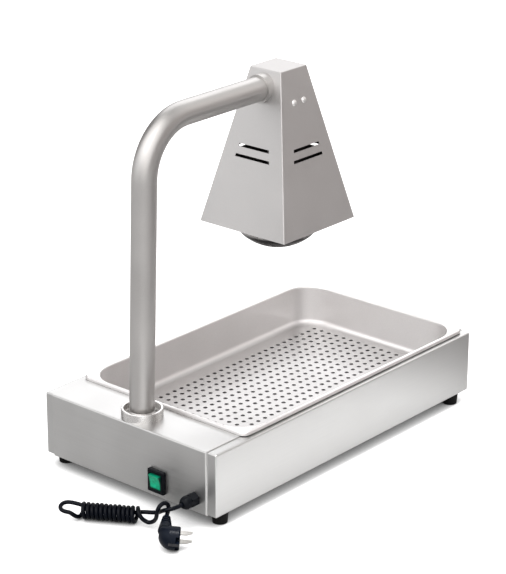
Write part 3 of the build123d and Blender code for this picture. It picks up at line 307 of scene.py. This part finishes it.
def vectors(tree, operation, first, second):
    """Sum, product or the like of two vectors or sockets; SCALE takes a number as its second."""
    made = add(tree, "VectorMath", {"operation": operation})
    join(tree, made.inputs[0], first)
    join(tree, made.inputs["Scale" if operation == "SCALE" else 1], second)
    return made.outputs["Value" if operation in ("DOT_PRODUCT", "DISTANCE") else "Vector"]


def ranged(tree, value, start, end, low=0.0, high=1.0, kind="SMOOTHSTEP"):
    """Value that goes from low at the start to high at the end, and stays there beyond them."""
    made = add(tree, "MapRange", {"interpolation_type": kind}, Value=value, From_Min=start, From_Max=end,
               To_Min=low, To_Max=high)
    return made.outputs[0]


def blended(tree, share, first, second):
    """Colour between two colours or sockets, by the share of the second."""
    made = add(tree, "Mix", {"data_type": "RGBA"}, Factor=share)
    colour_a, colour_b = [socket for socket in made.inputs if socket.type == "RGBA"]
    join(tree, colour_a, first)
    join(tree, colour_b, second)
    return next(socket for socket in made.outputs if socket.type == "RGBA")


def place_along(tree, axis, kind="Object"):
    """Place along an axis, in the part's own space or in shares of the piece's box."""
    return add(tree, "SeparateXYZ", Vector=add(tree, "TexCoord").outputs[kind]).outputs[axis]


def new_material(name):
    """Empty node material with a principled shader on its output."""
    made = bpy.data.materials.new(name)
    made.use_nodes = True
    tree = made.node_tree
    tree.nodes.clear()
    shader = add(tree, "BsdfPrincipled")
    add(tree, "OutputMaterial", Surface=shader.outputs[0])
    return made, tree, shader


def noise(tree, stretch, detail):
    """Noise between 0 and 1 in the part's own space, stretched along its axes."""
    place = add(tree, "TexCoord").outputs["Object"]
    mapped = add(tree, "Mapping", Vector=place, Scale=stretch).outputs[0]
    return add(tree, "TexNoise", Vector=mapped, Scale=1.0, Detail=detail).outputs[0]


def even_noise(tree, scale, detail):
    """Noise that is the same along all axes."""
    return noise(tree, (scale, scale, scale), detail)


def spread(tree, value, low, high):
    """Noise spread over a range."""
    return ranged(tree, value, NOISE_LOW, NOISE_HIGH, low, high, "LINEAR")


def tinted(tree, colour, value, change):
    """Colour made darker and lighter by noise."""
    dark = [c * (1 - change) for c in colour]
    light = [min(1.0, c * (1 + change)) for c in colour]
    ramp = add(tree, "ValToRGB", Fac=value)
    stops = ramp.color_ramp.elements
    for stop, position, shown in zip(stops, (NOISE_LOW, NOISE_HIGH), (dark, light)):
        stop.position = position
        stop.color = (*shown, 1)
    return ramp.outputs[0]


def skin(tree, height, strength):
    """Fine relief of a surface."""
    return add(tree, "Bump", Height=height, Strength=strength, Distance=SKIN_DEPTH).outputs[0]


def shaded_inside(tree, colour, middle):
    """Colour with a painted shadow on faces that look towards an upright line through a point."""
    coords = add(tree, "TexCoord").outputs
    spoke = vectors(tree, "SUBTRACT", coords["Object"], middle)
    level = vectors(tree, "MULTIPLY", spoke, (1, 1, 0))
    facing = vectors(tree, "DOT_PRODUCT", level, coords["Normal"])
    return blended(tree, maths(tree, "LESS_THAN", facing, 0), colour, INSIDE_SHADOW)


def shaded_floor(tree, colour, level):
    """Colour darkened at and below a level, as painted shade."""
    height = place_along(tree, "Z")
    share = ranged(tree, height, level + PAN_FLOOR_FADE, level, 1.0, PAN_FLOOR_SHADED)
    return vectors(tree, "SCALE", colour, share)


def steel(name, colour, roughness, grain, depth=0.12, hollow=None, shade_below=None, polish=0.0):
    """Stainless sheet: lines along the grain, duller patches, painted shadow on a hollow side, painted shade
    on a floor, a polish.
    """
    made, tree, shader = new_material(name)
    lines = noise(tree, grain, detail=3)
    patches = even_noise(tree, STEEL_PATCHES, detail=4)
    line_part = maths(tree, "MULTIPLY", lines, LINE_SHARE)
    patch_part = maths(tree, "MULTIPLY", patches, PATCH_SHARE)
    shown = tinted(tree, colour, maths(tree, "ADD", line_part, patch_part), STEEL_TINT)
    # Painted shadow on the hollow side and painted shade on the floor, where asked for
    if hollow:
        shown = shaded_inside(tree, shown, hollow)
    if shade_below:
        shown = shaded_floor(tree, shown, shade_below)
    line_rough = spread(tree, lines, roughness - STEEL_DULLING, roughness + STEEL_DULLING)
    patch_rough = spread(tree, patches, -STEEL_DULLING, STEEL_DULLING)
    fill(tree, shader, Base_Color=shown, Roughness=maths(tree, "ADD", line_rough, patch_rough),
         Normal=skin(tree, lines, depth), Metallic=1, Coat_Weight=polish, Coat_IOR=POLISH_IOR,
         Coat_Roughness=POLISH_ROUGHNESS)
    return made


def moulded(name, colour, roughness, texture=900, depth=0.15, coat=0.0, shine=0.5):
    """Moulded plastic, rubber or ceramic with a fine skin and slight wear."""
    made, tree, shader = new_material(name)
    patches = even_noise(tree, MOULDED_PATCHES, detail=4)
    rough = spread(tree, patches, roughness - MOULDED_DULLING, roughness + MOULDED_DULLING)
    relief = skin(tree, even_noise(tree, texture, detail=2), depth)
    fill(tree, shader, Base_Color=tinted(tree, colour, patches, MOULDED_TINT), Roughness=rough, Normal=relief,
         Coat_Weight=coat, Specular_IOR_Level=shine)
    return made


def tarnish(tree, roughness):
    """Patches of bare metal, and a roughness that follows them."""
    patches = even_noise(tree, METAL_PATCHES, detail=5)
    return patches, spread(tree, patches, roughness - METAL_SHINIER, roughness + METAL_DULLER)


def plain_metal(name, colour, roughness):
    """Plated or bare metal with a faint tarnish."""
    made, tree, shader = new_material(name)
    patches, rough = tarnish(tree, roughness)
    fill(tree, shader, Base_Color=tinted(tree, colour, patches, METAL_TINT), Roughness=rough, Metallic=1)
    return made


def blade_metal():
    """Bright plug blades, and the darkened earth contact beyond them."""
    made, tree, shader = new_material("blade_metal")
    patches, rough = tarnish(tree, BLADE_ROUGHNESS)
    beyond = maths(tree, "LESS_THAN", place_along(tree, "Y"), EARTH_CONTACT_FROM)
    bright = tinted(tree, BLADE_BRIGHT, patches, METAL_TINT)
    dark = tinted(tree, BLADE_DARK, patches, BLADE_DARK_TINT)
    fill(tree, shader, Base_Color=blended(tree, beyond, bright, dark), Roughness=rough, Metallic=1)
    return made


def green_lens():
    """Clear green rocker, with painted shade at its borders and along its top."""
    made, tree, shader = new_material("green_lens")
    clear = 1.0
    # Painted shade: the rocker darkens towards its borders and its top
    for axis, start, full in LENS_SHADED_BORDERS:
        edge = ranged(tree, place_along(tree, axis, "Generated"), start, full)
        clear = maths(tree, "MULTIPLY", edge, clear)
    green = tinted(tree, LENS_GREEN, even_noise(tree, LENS_CLOUDS, detail=3), LENS_TINT)
    fill(tree, shader, Base_Color=blended(tree, clear, LENS_SHADE, green), Roughness=LENS_ROUGHNESS,
         Specular_IOR_Level=LENS_SHINE)
    return made


def lamp_face():
    """Lamp glass, silvered on its side and dark on its face."""
    made, tree, shader = new_material("dark_glass")
    clouds = even_noise(tree, GLASS_CLOUDS, detail=4)
    side = ranged(tree, place_along(tree, "Z"), DARK_GLASS_TOP, SILVERED_FROM)
    face = tinted(tree, GLASS_DARK, clouds, GLASS_DARK_TINT)
    silver = tinted(tree, GLASS_SILVER, clouds, GLASS_SILVER_TINT)
    fill(tree, shader, Base_Color=blended(tree, side, face, silver), Metallic=side,
         Roughness=spread(tree, clouds, GLASS_SMOOTH, GLASS_ROUGH), Specular_IOR_Level=GLASS_SHINE)
    return made


def dress(cord):
    """Each piece in the look of its slot, or in its own."""
    slots = {
        "casing_steel": steel("casing_steel", (0.56, 0.56, 0.555), 0.37, ALONG_Y),
        # Painted shade on the pan's floor, at and below its level
        "pan_steel": steel("pan_steel", (0.79, 0.775, 0.77), 0.46, NO_GRAIN, 0.05, shade_below=PAN_FLOOR,
                           polish=0.35),
        "neck_steel": steel("neck_steel", (0.52, 0.51, 0.50), 0.41, NO_GRAIN, 0.06),
        # Painted shadow on the inside of the lamp shade
        "shade_steel": steel("shade_steel", (0.57, 0.56, 0.555), 0.45, ALONG_Z, hollow=SHADE_MIDDLE),
        "plated_steel": plain_metal("plated_steel", (0.74, 0.74, 0.75), 0.22),
        "black_plastic": moulded("black_plastic", (0.003, 0.004, 0.006), 0.42, shine=0.1),
        "green_lens": green_lens(),
        "black_rubber": moulded("black_rubber", (0.005, 0.005, 0.005), 0.65, shine=0.12),
        "white_ceramic": moulded("white_ceramic", (0.78, 0.75, 0.69), 0.2, 300, 0.04, 0.4),
        "dark_glass": lamp_face(),
        "cap_metal": plain_metal("cap_metal", (0.72, 0.70, 0.66), 0.28),
        "brass_metal": plain_metal("brass_metal", (0.70, 0.50, 0.22), 0.3),
        "cord_black": moulded("cord_black", (0.001, 0.002, 0.005), 0.3, 700, 0.1, shine=0.12),
        "plug_black": moulded("plug_black", (0.002, 0.004, 0.009), 0.34, shine=0.1),
        "blade_metal": blade_metal(),
        "brown_wire": moulded("brown_wire", (0.16, 0.06, 0.025), 0.4),
        "blue_wire": moulded("blue_wire", (0.03, 0.10, 0.42), 0.4),
        "earth_wire_sheath": moulded("earth_wire_sheath", (0.20, 0.42, 0.04), 0.4),
        "grey_wire": moulded("grey_wire", (0.42, 0.42, 0.41), 0.55),
        "cream_plastic": moulded("cream_plastic", (0.72, 0.66, 0.50), 0.4),
    }
    dull_plate = steel("dull_plate", (0.45, 0.445, 0.44), 0.65, NO_GRAIN, 0.05)
    own_looks = {
        "front_panel": steel("cross_panel_steel", (0.56, 0.56, 0.555), 0.37, ALONG_X),
        "rear_panel": steel("rear_panel_steel", (0.44, 0.44, 0.435), 0.42, ALONG_X),
        "bottom_plate": dull_plate,
        "front_bulkhead": dull_plate,
        "shade_rivets": plain_metal("rivet_metal", (0.84, 0.83, 0.82), 0.45),
        "neck_collar": steel("ring_steel", (0.74, 0.73, 0.72), 0.28, NO_GRAIN, 0.04),
    }
    for row in frame["record"]["subparts"]:
        coats = frame["nodes"][row["node"]].data.materials
        coats.clear()
        coats.append(own_looks.get(row["node"], slots[row["material_slot"]]))
    cord.data.materials.append(slots["cord_black"])


def floor_material():
    """White to the camera but for the shadow round the feet, with a dull part that the metal mirrors."""
    made, tree, shader = new_material("floor")
    apart = vectors(tree, "DISTANCE", add(tree, "TexCoord").outputs["Object"], DULL_PLACE)
    dull = ranged(tree, apart, DULL_OUTER, DULL_INNER)
    colour = blended(tree, dull, FLOOR_PALE, FLOOR_DULL)
    near = add(tree, "AmbientOcclusion", {"samples": SHADOW_SAMPLES}, Distance=SHADOW_REACH)
    clear = ranged(tree, near.outputs["AO"], SHADOW_FULL, SHADOW_NONE, kind="LINEAR")
    rays = add(tree, "LightPath").outputs
    unseen = maths(tree, "SUBTRACT", 1.0, rays["Is Camera Ray"])
    lit = vectors(tree, "SCALE", colour, maths(tree, "MAXIMUM", clear, unseen))
    mirrored = maths(tree, "MULTIPLY", rays["Is Glossy Ray"], FLOOR_IN_METAL)
    white = maths(tree, "MULTIPLY", clear, maths(tree, "MAXIMUM", mirrored, rays["Is Camera Ray"]))
    fill(tree, shader, Base_Color=lit, Roughness=FLOOR_ROUGHNESS, Specular_IOR_Level=FLOOR_SHINE,
         Emission_Color=WHITE, Emission_Strength=white)
    return made


def make_floor():
    """Floor just under the feet."""
    mesh = bpy.data.meshes.new("floor")
    corners = [(-1, -1), (1, -1), (1, 1), (-1, 1)]
    places = [(x * FLOOR_HALF, y * FLOOR_HALF, -FLOOR_DROP) for x, y in corners]
    mesh.from_pydata(places, [], [(0, 1, 2, 3)])
    mesh.materials.append(floor_material())
    floor = bpy.data.objects.new("floor", mesh)
    bpy.context.scene.collection.objects.link(floor)


def make_world():
    """Grey studio with soft bright panels round the object."""
    world = bpy.data.worlds.new("studio")
    bpy.context.scene.world = world
    world.use_nodes = True
    tree = world.node_tree
    tree.nodes.clear()
    way = add(tree, "TexCoord").outputs["Generated"]
    total = STUDIO_GREY
    for heading, elevation, inner, outer, colour in PANELS:
        facing = vectors(tree, "DOT_PRODUCT", way, towards(heading, elevation))
        edge = ranged(tree, facing, math.cos(math.radians(outer)), math.cos(math.radians(inner)))
        total = vectors(tree, "ADD", total, vectors(tree, "SCALE", colour, edge))
    back = add(tree, "Background", Color=total)
    add(tree, "OutputWorld", Surface=back.outputs[0])


def make_wash():
    """Soft lamp that lights only a cone before it."""
    data = bpy.data.lights.new("wash", "AREA")
    data.shape = "RECTANGLE"
    data.size, data.size_y = WASH_LENGTH, WASH_WIDTH
    data.energy = WASH_POWER
    data.spread = math.radians(WASH_SPREAD)
    lamp = bpy.data.objects.new("wash", data)
    lamp.location = WASH_PLACE
    lamp.rotation_euler = (WASH_TARGET - WASH_PLACE).to_track_quat("-Z", "Y").to_euler()
    bpy.context.scene.collection.objects.link(lamp)


make_camera()
dress(make_cord())
make_floor()
make_world()
make_wash()

bpy.context.scene.view_settings.view_transform = "Standard"
bpy.context.view_layer.update()
